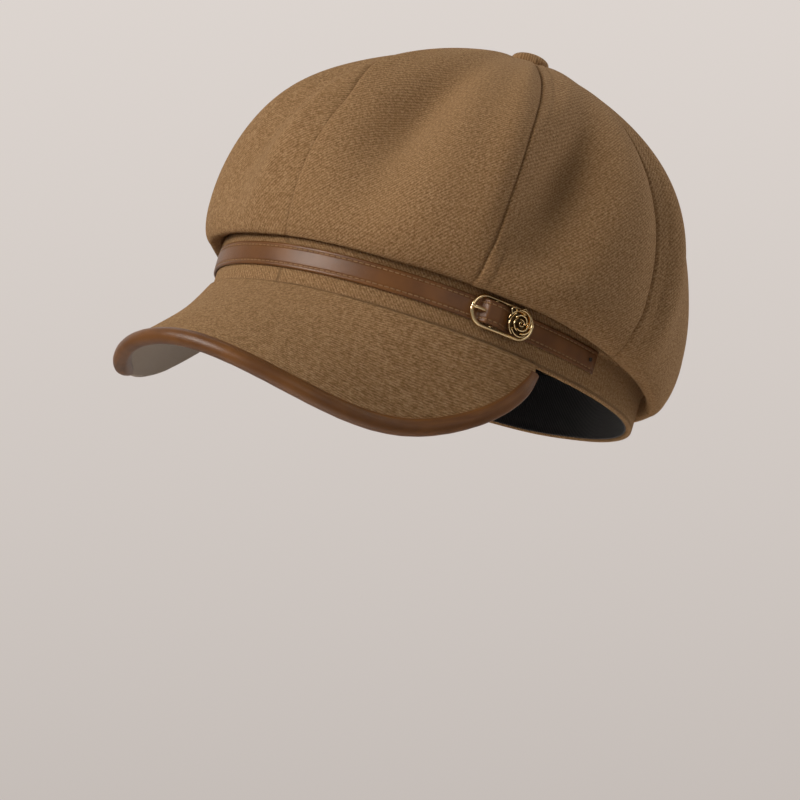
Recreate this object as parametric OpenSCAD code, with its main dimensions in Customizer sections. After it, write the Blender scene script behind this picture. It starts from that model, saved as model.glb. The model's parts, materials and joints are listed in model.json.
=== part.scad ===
// Newsboy cap: eight-panel crown with a covered button, head band, stiff visor
// with a bound edge, and a thin strap round the front with a buckle and a rose.
// The visor points to -Y, the wearer's left is +X and up is +Z. The origin is the
// middle of the head opening, level with the lower edge of the band.
// An angle t runs round the cap: 0 is the front and 90 the wearer's left.

/* [Head band] */
// Half width of the band, outside
band_half_w = 82.2; // [68:0.1:99]
// Half length of the band, outside
band_half_l = 102.1; // [85:0.1:123]
// Height of the band
band_h = 26; // [21:0.5:32]
// Thickness of the band's wool
band_t = 1.6; // [1:0.1:3]
// Thickness of the band's inner stiffener
stiffener_t = 0.8; // [0.4:0.1:1.5]
// Thickness of the sweatband
sweatband_t = 0.6; // [0.4:0.1:1.5]

/* [Crown] */
// Height of the crown's top above the band's lower edge
crown_h = 134.5; // [112:0.5:162]
// Thickness of the crown's wool
crown_t = 2; // [1:0.1:2.5]
// How far the crown stands out past the band at the front
front_overhang = 7; // [6:0.1:12]
// How far the crown stands out past the band at the sides
side_overhang = 15.5; // [8:0.1:22]
// How far the crown stands out past the band at the back
back_overhang = 6.5; // [6:0.1:14]
// How far the button sits behind the middle
top_setback = 10; // [0:0.5:20]
// Height of the crown's widest line at the front
front_widest_z = 39; // [34:0.5:48]
// Height of the crown's widest line at the back
back_widest_z = 32; // [29:0.5:48]
// Height of the fold over the band at the front
front_fold_z = 19.4; // [17.5:0.1:22]
// Height of the fold over the band at the back
back_fold_z = 10; // [5:0.1:20]
// Flatness of the top towards the front, side and back, from 0 to 1
top_flatness = [0.33, 0.2, 0.6];
// Fullness of the walls towards the front, side and back, from 0 to 1
wall_fullness = [0.61, 0.8, 0.42];
// Angle from the front seam to the next seam
seam_angle = 48; // [42:0.5:52]
// Radius of the hole in the top under the button
top_hole_r = 3; // [2:0.1:5]
// Thickness of the lining
lining_t = 0.8; // [0.4:0.1:1.2]

/* [Button] */
// Radius of the covered button
button_r = 8; // [6:0.1:12]
// Height of the covered button
button_h = 5.2; // [4:0.1:8]
// Thickness of the cloth on the button
button_cloth_t = 1.2; // [0.8:0.1:1.6]
// Thickness of the button's metal shell
button_metal_t = 0.5; // [0.3:0.1:0.8]
// Radius of the button's shank
shank_r = 0.9; // [0.6:0.1:1.5]

/* [Visor] */
// Length of the visor at the front, to the middle of its bound edge
visor_len = 58.5; // [45:0.5:72]
// Angle from the front to each end of the visor
visor_span = 72; // [58:0.5:86]
// Droop of the visor below level at the front
droop_mid = 38; // [15:1:50]
// Droop of the visor below level at its ends
droop_side = 80; // [55:1:86]
// How far the wearer's right side of the visor is bent up, in degrees
droop_bend = 10; // [0:1:14]
// Thickness of the visor board
board_t = 1.5; // [1:0.1:3]
// Thickness of each visor cover
cover_t = 1.2; // [0.8:0.1:2]
// Thickness of the leather over the bound edge
binding_t = 1.25; // [0.8:0.05:2]

/* [Strap and buckle] */
// Width of the strap
strap_w = 9.4; // [7:0.1:11]
// Thickness of the strap
strap_t = 1.3; // [0.8:0.1:1.6]
// Height of the strap's lower edge
strap_z = 7.5; // [3:0.1:8]
// Angle from the front to each end of the strap
strap_span = 90; // [80:1:100]
// Angle from the front to the middle of the buckle
buckle_angle = 59; // [45:1:70]
// Length of the buckle, outside
buckle_len = 28.8; // [24:0.1:35]
// Radius of the buckle's wire
wire_r = 0.7; // [0.5:0.05:0.85]
// Radius of the buckle's bar
bar_r = 0.6; // [0.4:0.05:0.7]
// How far the bar is from the buckle's middle, towards the front
bar_shift = 4; // [2:0.5:5]
// Radius of the prong
prong_r = 0.55; // [0.4:0.05:0.65]
// Slope of the prong, from the bar out over the wire
prong_slope = 9; // [8:0.5:12]
// Clearance between the prong and the wire it crosses
prong_clear = 0.25; // [0.15:0.05:0.4]
// Thickness of the leather loop that holds the bar
loop_t = 0.6; // [0.4:0.05:0.8]
// Radius of the rose
rose_r = 5.7; // [4:0.1:6]
// Height of the rose
rose_h = 3.2; // [2:0.1:5]

/* [Hidden] */
$fn = 48;

WOOL = [0.42, 0.31, 0.22];
SATIN = [0.05, 0.05, 0.05];
LEATHER = [0.32, 0.19, 0.1];
TAUPE = [0.6, 0.57, 0.53];
GOLD = [0.85, 0.76, 0.58];

gap = 0.3;                          // clearance between soft pieces
lining_gap = 0.6;                   // between the crown and its lining
fit = 0.05;                         // running clearance of a bore round a pin
skin = 0.1;                         // between a sewn-on piece and what it lies on
band_steps = 96;
panel_steps = 6;
lining_steps = 4;
fold_start = 60;                    // the fold starts to drop at this angle
fold_end = 135;
fold_place = 0.4;                   // place of the fold between the crown's two walls
wall_share = 0.62;                  // share of the panel above its widest line
lip_share = 0.84;                   // share of the panel above the fold
seams = [0, seam_angle, 90, 180 - seam_angle, 180,
         180 + seam_angle, 270, 360 - seam_angle, 360];

visor_p = 1.88;                     // shape of the visor's outline
visor_q = 0.6;
droop_turn = 0.77;                  // share of the span over which the droop grows
layer_half = board_t / 2 + cover_t;
roll_r = layer_half + binding_t;
board_end = 0.985;                  // share of the span that the layers cover
binding_end = 0.995;

strap_mid_z = strap_z + strap_w / 2;
ring_r = strap_w / 2 + 0.5 + wire_r;            // half height of the ring, to its wire
ring_half = buckle_len / 2 - wire_r;            // half length of the ring, to its wire
loop_r = bar_r + fit + loop_t;
eye_r = loop_r - fit;
eye_h = 4 * prong_r;
bar_v = loop_r + skin + 1.05;                   // height of the bar over the band
bump_h = bar_v + loop_r + 2 * skin;             // rise of the strap over the bar
ring_straight = ring_half - ring_r;             // half length of the ring's straight wires
strap_in = ring_straight + sqrt(pow(ring_r, 2) - pow((strap_w + wire_r) / 2, 2));
bump_front = 1.1 * strap_in - 0.1 * bar_shift;  // where the strap starts to rise inside the ring
bump_back = 5;                                  // where the strap is down again
slot_w = 3.1 * prong_r;
// How far out of the bar's middle the prong's shank leaves its eye, to clear the wire
prong_out = wire_r + prong_r + prong_clear - (ring_half - bar_shift) * sin(prong_slope);
tab_len = 5;

function smooth(x) = let (k = min(max(x, 0), 1)) k * k * (3 - 2 * k);
function unit(v) = v / norm(v);

// A value given at the front, the side and the back, blended round the cap.
function around(t, v) =
    v[1] + (v[0] - v[2]) / 2 * cos(t) + ((v[0] + v[2]) / 2 - v[1]) * pow(cos(t), 2);

// The plan of the cap: an ellipse grown by one distance at the sides, one at the ends.
function plan(t, grow_w, grow_l) =
    [(band_half_w + grow_w) * sin(t), -(band_half_l + grow_l) * cos(t)];

function outward(t) = unit([sin(t) / band_half_w, -cos(t) / band_half_l]);
function on_band(t, off) = plan(t, 0, 0) + off * outward(t);

// ---- crown ----
function widest_z(t) =
    around(t, [front_widest_z, (front_widest_z + back_widest_z) / 2, back_widest_z]);
function overhang(t) = cos(t) > 0 ? front_overhang : back_overhang;

function fold_z(t) =
    let (a = t > 180 ? 360 - t : t)
    front_fold_z + (back_fold_z - front_fold_z) * smooth((a - fold_start) / (fold_end - fold_start));

// How far the fold stands out: a share of the room between the tucked wall and the outer one.
function fold_out(over) = gap + crown_t + (over - gap - 2 * crown_t) * fold_place;
function fold_plan(t) = plan(t, fold_out(side_overhang), fold_out(overhang(t)));

function first_u(t) =
    let (r = norm(plan(t, side_overhang, overhang(t)))) top_hole_r / (3 * around(t, top_flatness) * r);

// The dome: a curve from the top, level there, to the widest line, upright there.
function dome_pt(t, u, d) =
    let (a = around(t, top_flatness),
         b = around(t, wall_fullness),
         k = first_u(t) + (1 - first_u(t)) * u,
         r = 3 * k * pow(1 - k, 2) * a + 3 * k * k * (1 - k) + pow(k, 3),
         z = pow(1 - k, 3) + 3 * k * pow(1 - k, 2) + 3 * k * k * (1 - k) * b,
         p = plan(t, side_overhang - d, overhang(t) - d))
    [p.x * r, p.y * r + top_setback * (1 - r), widest_z(t) + (crown_h - d - widest_z(t)) * z];

// The lip: from the widest line down and in to the fold.
function lip_pt(t, u, d) =
    let (p = plan(t, side_overhang - d, overhang(t) - d),
         f = fold_plan(t),
         q = f + (p - f) * cos(90 * u))
    [q.x, q.y, widest_z(t) - (widest_z(t) - fold_z(t) - d) * sin(90 * u)];

// The tuck: from the fold up beside the band to its top edge.
function tuck_pt(t, u, d) =
    let (f = fold_plan(t),
         s = plan(t, gap + d, gap + d),
         q = s + (f - s) * (1 - sin(90 * u)))
    [q.x, q.y, fold_z(t) + d + (band_h - fold_z(t) - d) * (1 - cos(90 * u))];

function crown_pt(t, s, d) =
    s <= wall_share ? dome_pt(t, s / wall_share, d)
    : s <= lip_share ? lip_pt(t, (s - wall_share) / (lip_share - wall_share), d)
    : tuck_pt(t, (s - lip_share) / (1 - lip_share), d);

// The lining follows the dome, then turns in over the top of the band.
function lining_pt(t, s, d) =
    s <= wall_share ? dome_pt(t, s / wall_share, d)
    : let (u = (s - wall_share) / (1 - wall_share),
           p = plan(t, side_overhang - d, overhang(t) - d),
           e = plan(t, -band_t - stiffener_t, -band_t - stiffener_t),
           q = e + (p - e) * cos(90 * u),
           low = band_h + gap + lining_t + crown_t + lining_gap + (d - 2 * (crown_t + lining_gap) - lining_t))
      [q.x, q.y, widest_z(t) - (widest_z(t) - low) * sin(90 * u)];

function crown_rows() = concat([for (i = [0:15]) wall_share * i / 15],
                               [for (i = [1:6]) wall_share + (lip_share - wall_share) * i / 6],
                               [for (i = [1:4]) lip_share + (1 - lip_share) * i / 4]);
function lining_rows() = concat([for (i = [0:11]) wall_share * i / 11],
                                [for (i = [1:4]) wall_share + (1 - wall_share) * i / 4]);

// ---- closed solids from grids of points ----
function grid_id(rows, cols, j, i, k) = k * rows * cols + j * cols + i;

// Closes the space between two grids of the same size, the outer one first.
module slab(outer, inner) {
    m = len(outer);
    n = len(outer[0]);
    points = concat([for (row = outer) each row], [for (row = inner) each row]);
    faces = concat(
        [for (j = [0:m - 2], i = [0:n - 2]) each
            let (a = grid_id(m, n, j, i, 0), b = grid_id(m, n, j, i + 1, 0),
                 c = grid_id(m, n, j + 1, i + 1, 0), d = grid_id(m, n, j + 1, i, 0),
                 h = m * n)
            [[a, b, c], [a, c, d], [a + h, c + h, b + h], [a + h, d + h, c + h]]],
        [for (i = [0:n - 2]) each
            let (a = grid_id(m, n, 0, i, 0), b = a + 1, c = grid_id(m, n, m - 1, i, 0), d = c + 1,
                 h = m * n)
            [[b, a, a + h], [b, a + h, b + h], [c, d, d + h], [c, d + h, c + h]]],
        [for (j = [0:m - 2]) each
            let (a = grid_id(m, n, j, 0, 0), b = grid_id(m, n, j + 1, 0, 0),
                 c = grid_id(m, n, j, n - 1, 0), d = grid_id(m, n, j + 1, n - 1, 0),
                 h = m * n)
            [[a, b, b + h], [a, b + h, a + h], [d, c, d + h], [c, c + h, d + h]]]);
    polyhedron(points = points, faces = faces, convexity = 6);
}

// Joins rings of the same number of points into one closed bar.
module bar_of_rings(rings) {
    m = len(rings);
    n = len(rings[0]);
    faces = concat(
        [for (j = [0:m - 2], i = [0:n - 1]) each
            let (a = j * n + i, b = j * n + (i + 1) % n, c = a + n, d = b + n)
            [[a, b, d], [a, d, c]]],
        [[for (i = [n - 1:-1:0]) i], [for (i = [0:n - 1]) (m - 1) * n + i]]);
    polyhedron(points = [for (ring = rings) each ring], faces = faces, convexity = 8);
}

module crown_panel(k) {
    span = [for (i = [0:panel_steps]) seams[k - 1] + (seams[k] - seams[k - 1]) * i / panel_steps];
    color(WOOL)
        slab([for (s = crown_rows()) [for (t = span) crown_pt(t, s, 0)]],
             [for (s = crown_rows()) [for (t = span) crown_pt(t, s, crown_t)]]);
}

module lining_panel(k) {
    span = [for (i = [0:lining_steps]) seams[k - 1] + (seams[k] - seams[k - 1]) * i / lining_steps];
    outer = crown_t + lining_gap;
    color(SATIN)
        slab([for (s = lining_rows()) [for (t = span) lining_pt(t, s, outer)]],
             [for (s = lining_rows()) [for (t = span) lining_pt(t, s, outer + lining_t)]]);
}

// ---- button ----
module at_top(z) {
    translate([0, top_setback, crown_h + z]) children();
}

// A low dome with an upright rim, as a solid of revolution.
module button_dome(r, h) {
    rim = 0.35 * h;
    rotate_extrude()
        polygon(concat([[0, 0], [r - 0.25 * rim, 0], [r, 0.4 * rim]],
                       [for (a = [0:7.5:90]) [r * cos(a), rim + (h - rim) * sin(a)]]));
}

module button_cover() {
    color(WOOL) at_top(skin)
        difference() {
            button_dome(button_r, button_h);
            translate([0, 0, button_cloth_t / 2])
                button_dome(button_r - button_cloth_t, button_h - 1.5 * button_cloth_t);
            translate([0, 0, -1]) cylinder(h = 3, r = button_r - 2.4 * button_cloth_t);
        }
}

module button_shell() {
    outer_r = button_r - button_cloth_t - fit;
    outer_h = button_h - 1.5 * button_cloth_t - 2 * fit;
    color("silver") at_top(skin + button_cloth_t / 2 + fit)
        difference() {
            button_dome(outer_r, outer_h);
            translate([0, 0, -button_metal_t])
                button_dome(outer_r - button_metal_t, outer_h);
        }
}

module button_base() {
    base_r = button_r - 2.4 * button_cloth_t - fit;
    color("silver") at_top(2 * skin)
        difference() {
            cylinder(h = 2 * button_metal_t, r = base_r);
            translate([0, 0, -1]) cylinder(h = 4, r = shank_r);
        }
}

lining_depth = crown_t + lining_gap + lining_t;
// Lowest point of the lining under the button's back plate, below the top of the crown.
back_depth = crown_h - min([for (t = [0:15:345]) lining_pt(t, 0.04 * wall_share, lining_depth).z]);
back_t = 1.2;
module button_shank() {
    drop = back_depth + back_t + 0.8;
    color("silver") at_top(-drop) cylinder(h = drop + 1.5, r = shank_r);
}

module button_back() {
    color(SATIN) at_top(-back_depth - gap / 3 - back_t)
        difference() {
            cylinder(h = back_t, r = 1.8 * top_hole_r);
            translate([0, 0, -1]) cylinder(h = back_t + 2, r = shank_r + fit);
        }
}

// ---- head band ----
module band_ring(inset, thick, low, high) {
    translate([0, 0, low])
        linear_extrude(height = high - low)
            difference() {
                polygon([for (i = [0:band_steps - 1]) plan(360 * i / band_steps, -inset, -inset)]);
                polygon([for (i = [0:band_steps - 1])
                    plan(360 * i / band_steps, -inset - thick, -inset - thick)]);
            }
}

module band_outer() {
    color(WOOL) band_ring(0, band_t, 0, band_h);
}

module band_stiffener() {
    color(TAUPE) band_ring(band_t, stiffener_t, 1, band_h);
}

module sweatband() {
    color(SATIN) band_ring(band_t + stiffener_t, sweatband_t, 0.5, band_h);
}

// ---- visor ----
function visor_reach(t) = visor_len * pow(1 - pow(abs(t) / visor_span, visor_p), visor_q);
function visor_droop(t) =
    let (side = droop_side - droop_bend * smooth((-t - 15) / 35))
      droop_mid + (side - droop_mid) * smooth(abs(t) / visor_span / droop_turn);

// A point on the visor: w runs from the band to the edge, h is the height above its middle.
function visor_pt(t, w, h) =
    let (n = outward(t), d = visor_droop(t), l = visor_reach(t) * w,
         out = l * cos(d) + h * sin(d),
         p = plan(t, 0, 0) + n * out)
    [p.x, p.y, -gap - l * sin(d) + h * cos(d)];

function visor_span_list(end, steps) =
    [for (i = [0:steps]) visor_span * end * sin(-90 + 180 * i / steps)];

module visor_layer(low, high) {
    span = visor_span_list(board_end, 28);
    slab([for (j = [0:4]) [for (t = span) visor_pt(t, j / 4, high)]],
         [for (j = [0:4]) [for (t = span) visor_pt(t, j / 4, low)]]);
}

module visor_board() {
    color("white") visor_layer(-board_t / 2, board_t / 2);
}

module visor_top_cover() {
    color(WOOL) visor_layer(board_t / 2, layer_half);
}

module visor_under_cover() {
    color(TAUPE) visor_layer(-layer_half, -board_t / 2);
}

// The section of the binding: a round roll with a channel for the visor's three layers.
function binding_section() =
    let (mouth = asin((layer_half + skin) / roll_r))
    concat([for (i = [0:12]) let (a = mouth + (360 - 2 * mouth) * i / 12) roll_r * [cos(a), sin(a)]],
           [[-gap, -layer_half - skin], [-gap, layer_half + skin]]);

module visor_binding() {
    step = 0.05;
    rings = [for (t = visor_span_list(binding_end, 44))
        let (e = visor_pt(t, 1, 0),
             along = unit(visor_pt(t + step, 1, 0) - visor_pt(t - step, 1, 0)),
             up = unit(cross(along, e - visor_pt(t, 0.9, 0))),
             inward = cross(along, up))
        [for (p = binding_section()) e + p.x * inward - p.y * up]];
    color(LEATHER) bar_of_rings(rings);
}

// ---- strap ----
// Distance along the band from the buckle's middle, positive towards the back.
ring_speed = norm([band_half_w * cos(buckle_angle), band_half_l * sin(buckle_angle)]);
function along(t) = (t - buckle_angle) * ring_speed * PI / 180;

// Rise of the strap off the band: it climbs over the buckle's bar.
function strap_rise(t) =
    let (u = along(t))
    skin + bump_h * (u < -bar_shift ? smooth((u + bump_front) / (bump_front - bar_shift))
                                    : smooth((bump_back - u) / (bump_back + bar_shift)));

module at_buckle() {
    p = plan(buckle_angle, 0, 0);
    n = outward(buckle_angle);
    translate([p.x, p.y, strap_mid_z])
        rotate([0, 0, atan2(n.y, n.x)])
            children();
}

module strap() {
    angles = concat([for (t = [-strap_span:3:buckle_angle - 9]) t],
                    [for (t = [buckle_angle - 8.5:0.5:buckle_angle + 4]) t],
                    [for (t = [buckle_angle + 6:3:strap_span]) t]);
    outer = [for (t = angles) on_band(t, strap_rise(t) + strap_t)];
    inner = [for (i = [len(angles) - 1:-1:0]) on_band(angles[i], strap_rise(angles[i]))];
    color(LEATHER)
        difference() {
            translate([0, 0, strap_z]) linear_extrude(height = strap_w) polygon(concat(outer, inner));
            at_buckle()
                translate([-1, -bump_front, -slot_w / 2])
                    cube([bump_h + 6, bump_front - bar_shift - 0.6, slot_w]);
        }
}

module strap_tacks() {
    tack_r = 0.8;
    color("black")
        for (t = [-strap_span + 2, strap_span - 3]) {
            p = on_band(t, strap_rise(t) + strap_t + skin);
            n = outward(t);
            translate([p.x, p.y, strap_mid_z])
                rotate([0, 0, atan2(n.y, n.x)])
                    rotate([0, 90, 0])
                        cylinder(h = 0.5, r = tack_r);
        }
}

// ---- buckle ----
// In the buckle's own axes X points out of the band, Y along the strap and Z up.
module buckle_anchor() {
    ear_w = strap_w / 2 - 0.7 - eye_h / 2 - fit * 4;
    color(LEATHER) at_buckle()
        for (side = [-1, 1])
            translate([0, -bar_shift, side * (eye_h / 2 + fit * 4 + ear_w / 2) - ear_w / 2])
                difference() {
                    union() {
                        translate([bar_v, 0, 0]) cylinder(h = ear_w, r = loop_r);
                        translate([skin, 0, 0]) cube([bar_v - loop_r, tab_len, ear_w]);
                    }
                    translate([bar_v, 0, -1]) cylinder(h = ear_w + 2, r = bar_r + fit);
                }
}

module buckle_frame() {
    color(GOLD) at_buckle() translate([bar_v, 0, 0]) {
        for (side = [-1, 1]) {
            translate([0, 0, side * ring_r]) rotate([90, 0, 0])
                cylinder(h = 2 * ring_straight, r = wire_r, center = true);
            translate([0, side * ring_straight, 0]) rotate([0, 90, 0]) rotate([0, 0, side > 0 ? 0 : 180])
                rotate_extrude(angle = 180) translate([ring_r, 0]) circle(r = wire_r, $fn = 24);
        }
        translate([0, -bar_shift, 0]) cylinder(h = 2 * ring_r, r = bar_r, center = true);
    }
}

module buckle_prong() {
    prong_len = (ring_half - bar_shift + 1.2) / cos(prong_slope);
    color(GOLD) at_buckle() translate([bar_v, -bar_shift, 0])
        difference() {
            union() {
                cylinder(h = eye_h, r = eye_r, center = true);
                rotate([0, 0, prong_slope]) translate([prong_out, 0, 0]) rotate([90, 0, 0]) {
                    cylinder(h = prong_len, r = prong_r);
                    translate([0, 0, prong_len]) sphere(r = prong_r);
                }
            }
            cylinder(h = eye_h + 2, r = bar_r + fit, center = true);
        }
}

module rose_petal(r, low, high, turn) {
    rotate([0, 0, turn])
        rotate_extrude(angle = 220)
            polygon([[r - 0.9, low], [r, low], [r + 0.15, high], [r - 0.35, high]]);
}

module rose_ornament() {
    color(GOLD) at_buckle() translate([bar_v + wire_r, ring_half - rose_r + wire_r, 0])
        rotate([0, 90, 0]) {
            cylinder(h = 0.3 * rose_h, r = rose_r - 0.3);
            for (i = [0:4])
                rose_petal(rose_r - 0.3 - i, 0.25 * rose_h, (0.62 + 0.08 * i) * rose_h, 137 * i);
            cylinder(h = rose_h, r = 0.9);
        }
}

crown_panel(1);  // crown_panel_1
crown_panel(2);  // crown_panel_2
crown_panel(3);  // crown_panel_3
crown_panel(4);  // crown_panel_4
crown_panel(5);  // crown_panel_5
crown_panel(6);  // crown_panel_6
crown_panel(7);  // crown_panel_7
crown_panel(8);  // crown_panel_8
lining_panel(1);  // lining_panel_1
lining_panel(2);  // lining_panel_2
lining_panel(3);  // lining_panel_3
lining_panel(4);  // lining_panel_4
lining_panel(5);  // lining_panel_5
lining_panel(6);  // lining_panel_6
lining_panel(7);  // lining_panel_7
lining_panel(8);  // lining_panel_8
button_cover();
button_shell();
button_base();
button_shank();
button_back();
band_outer();
band_stiffener();
sweatband();
visor_board();
visor_top_cover();
visor_under_cover();
visor_binding();
strap();
strap_tacks();
buckle_anchor();
buckle_frame();
buckle_prong();
rose_ornament();
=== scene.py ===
import json
import math

import bpy
import numpy as np
from mathutils import Matrix, Vector

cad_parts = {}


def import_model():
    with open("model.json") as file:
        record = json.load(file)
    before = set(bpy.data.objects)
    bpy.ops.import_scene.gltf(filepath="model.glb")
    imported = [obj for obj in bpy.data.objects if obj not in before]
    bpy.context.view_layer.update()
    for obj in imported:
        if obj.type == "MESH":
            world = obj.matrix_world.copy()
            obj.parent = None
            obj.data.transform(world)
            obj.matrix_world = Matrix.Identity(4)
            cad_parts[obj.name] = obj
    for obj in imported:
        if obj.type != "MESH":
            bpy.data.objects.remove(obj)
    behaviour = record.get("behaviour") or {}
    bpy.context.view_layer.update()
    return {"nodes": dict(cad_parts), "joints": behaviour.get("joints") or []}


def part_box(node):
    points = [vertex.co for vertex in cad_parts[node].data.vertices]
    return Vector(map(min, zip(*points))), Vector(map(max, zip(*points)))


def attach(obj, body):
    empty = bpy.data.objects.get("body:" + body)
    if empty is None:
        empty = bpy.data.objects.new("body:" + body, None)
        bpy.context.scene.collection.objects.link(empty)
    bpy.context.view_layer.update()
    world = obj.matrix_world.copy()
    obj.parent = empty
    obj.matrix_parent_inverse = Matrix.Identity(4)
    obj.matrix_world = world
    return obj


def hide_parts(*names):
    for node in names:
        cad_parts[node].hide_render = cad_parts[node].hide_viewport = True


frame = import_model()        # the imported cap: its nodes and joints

# Lengths below are in millimetres, angles in degrees. An angle t runs round the cap:
# 0 is the front (-Y) and 90 the wearer's left (+X). Meshes are written out in metres.
MM = 0.001


# ---------------------------------------------------------------- sizes from the frame

def box_mm(node):
    low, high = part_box(node)
    return np.array(low) / MM, np.array(high) / MM


HALF_W, HALF_L, BAND_H = box_mm("band_outer")[1]
CROWN_TOP = box_mm("crown_panel_4")[1][2]
SIDE_OVER = box_mm("crown_panel_3")[1][0] - HALF_W
FRONT_OVER = -box_mm("crown_panel_1")[0][1] - HALF_L
BACK_OVER = box_mm("crown_panel_4")[1][1] - HALF_L
button_low, button_high = box_mm("button_cover")
BUTTON_R = (button_high[0] - button_low[0]) / 2
TOP_SETBACK = (button_high[1] + button_low[1]) / 2
strap_low, strap_high = box_mm("strap")
STRAP_Z, STRAP_W = strap_low[2], strap_high[2] - strap_low[2]
PIVOT = np.array(frame["joints"][0]["pos_m"]) / MM

# ---------------------------------------------------------------- shape of the cap

CLOTH_T = 2.0
GAP = 0.3
FRONT_WIDEST, BACK_WIDEST = 39.0, 32.0
FRONT_FOLD, BACK_FOLD = 19.4, 10.0
FOLD_START, FOLD_END, FOLD_PLACE = 60.0, 135.0, 0.4
TOP_FLATNESS = (0.33, 0.2, 0.6)
WALL_FULLNESS = (0.61, 0.8, 0.42)
WALL_SHARE, LIP_SHARE = 0.62, 0.84
TOP_HOLE_R = 3.0
SEAM_ANGLE = 48.0
SEAMS = (0, SEAM_ANGLE, 90, 180 - SEAM_ANGLE, 180, 180 + SEAM_ANGLE, 270, 360 - SEAM_ANGLE, 360)
# How far each seam leans round the cap in the soft crown: half way up, and near the button.
SEAM_LEAN = (0.0, 2.0, 4.0, 1.0, 0.0, -1.0, -2.0, -1.0, 0.0)
SEAM_LEAN_TOP = (-7.5, 2.0, 0.0, 0.0, 2.0, 0.0, 0.0, 3.0, -7.5)
# How plainly each seam shows: the cloth lies flatter at the front one.
SEAM_SHOWS = (0.45, 1.0, 0.7, 0.9, 0.9, 0.9, 0.9, 0.9, 0.45)
MERIDIAN = 190.0                    # length of a panel from button to band, about
LINING_GAP = 0.6
LINING_T = 0.8

VISOR_SPAN = 72.0
VISOR_P, VISOR_Q = 1.88, 0.6
DROOP_MID, DROOP_SIDE, DROOP_TURN = 38.0, 80.0, 0.77
FAR_LIFT = 10.0                     # the wearer's right side of the visor is bent up a little
VISOR_HALF = 1.95                   # half thickness of the visor's three layers
COVER_T = 1.2
ROLL_R = 3.2
VISOR_LEN = 58.5

STRAP_T = 1.3
BUCKLE_ANGLE = 59.0
BUMP_FRONT, BUMP_BACK = 11.1, 5.0
BUMP_SLOPE = 4.2                    # length of the rise at the front of the bump
BAR_SHIFT = 4.0


def smooth(x):
    k = np.clip(x, 0, 1)
    return k * k * (3 - 2 * k)


def sin(a):
    return np.sin(np.radians(a))


def cos(a):
    return np.cos(np.radians(a))


def unit(v):
    return v / np.maximum(np.linalg.norm(v, axis=-1, keepdims=True), 1e-12)


def around(t, v):
    front, side, back = v
    return side + (front - back) / 2 * cos(t) + ((front + back) / 2 - side) * cos(t) ** 2


def plan(t, grow_w, grow_l):
    return (HALF_W + grow_w) * sin(t), -(HALF_L + grow_l) * cos(t)


def outward(t):
    return unit(np.stack([sin(t) / HALF_W, -cos(t) / HALF_L], -1))


def overhang(t):
    return np.where(cos(t) > 0, FRONT_OVER, BACK_OVER)


def widest_z(t):
    return around(t, (FRONT_WIDEST, (FRONT_WIDEST + BACK_WIDEST) / 2, BACK_WIDEST))


def fold_z(t):
    a = np.abs((t + 180) % 360 - 180)
    return FRONT_FOLD + (BACK_FOLD - FRONT_FOLD) * smooth((a - FOLD_START) / (FOLD_END - FOLD_START))


def fold_out(over):
    return GAP + CLOTH_T + (over - GAP - 2 * CLOTH_T) * FOLD_PLACE


def dome(t, u, d):
    """The crown above its widest line: u runs from the button (0) to that line (1)."""
    over = overhang(t)
    px, py = plan(t, SIDE_OVER, over)
    first = TOP_HOLE_R / (3 * around(t, TOP_FLATNESS) * np.hypot(px, py))
    k = first + (1 - first) * u
    a, b = around(t, TOP_FLATNESS), around(t, WALL_FULLNESS)
    r = 3 * k * (1 - k) ** 2 * a + 3 * k * k * (1 - k) + k ** 3
    z = (1 - k) ** 3 + 3 * k * (1 - k) ** 2 + 3 * k * k * (1 - k) * b
    px, py = plan(t, SIDE_OVER - d, over - d)
    return np.stack([px * r, py * r + TOP_SETBACK * (1 - r),
                     widest_z(t) + (CROWN_TOP - d - widest_z(t)) * z], -1)


def lip(t, u, d):
    """From the widest line down and in to the fold over the band."""
    over = overhang(t)
    px, py = plan(t, SIDE_OVER - d, over - d)
    fx, fy = plan(t, fold_out(SIDE_OVER), fold_out(over))
    z = widest_z(t) - (widest_z(t) - fold_z(t) - d) * sin(90 * u)
    return np.stack([fx + (px - fx) * cos(90 * u), fy + (py - fy) * cos(90 * u), z], -1)


def tuck(t, u, d):
    """From the fold up beside the band to its top edge."""
    over = overhang(t)
    fx, fy = plan(t, fold_out(SIDE_OVER), fold_out(over))
    sx, sy = plan(t, GAP + d, GAP + d)
    k = 1 - sin(90 * u)
    z = fold_z(t) + d + (BAND_H - fold_z(t) - d) * (1 - cos(90 * u))
    return np.stack([sx + (fx - sx) * k, sy + (fy - sy) * k, z], -1)


def crown(t, s, d=0.0):
    """The plain crown: s runs from the button (0) to the top of the band (1)."""
    t, s = np.broadcast_arrays(np.asarray(t, float), np.asarray(s, float))
    parts = (dome(t, np.clip(s / WALL_SHARE, 0, 1), d),
             lip(t, np.clip((s - WALL_SHARE) / (LIP_SHARE - WALL_SHARE), 0, 1), d),
             tuck(t, np.clip((s - LIP_SHARE) / (1 - LIP_SHARE), 0, 1), d))
    k = ((s > WALL_SHARE).astype(int) + (s > LIP_SHARE))[..., None]
    return np.where(k == 0, parts[0], np.where(k == 1, parts[1], parts[2]))


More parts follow.
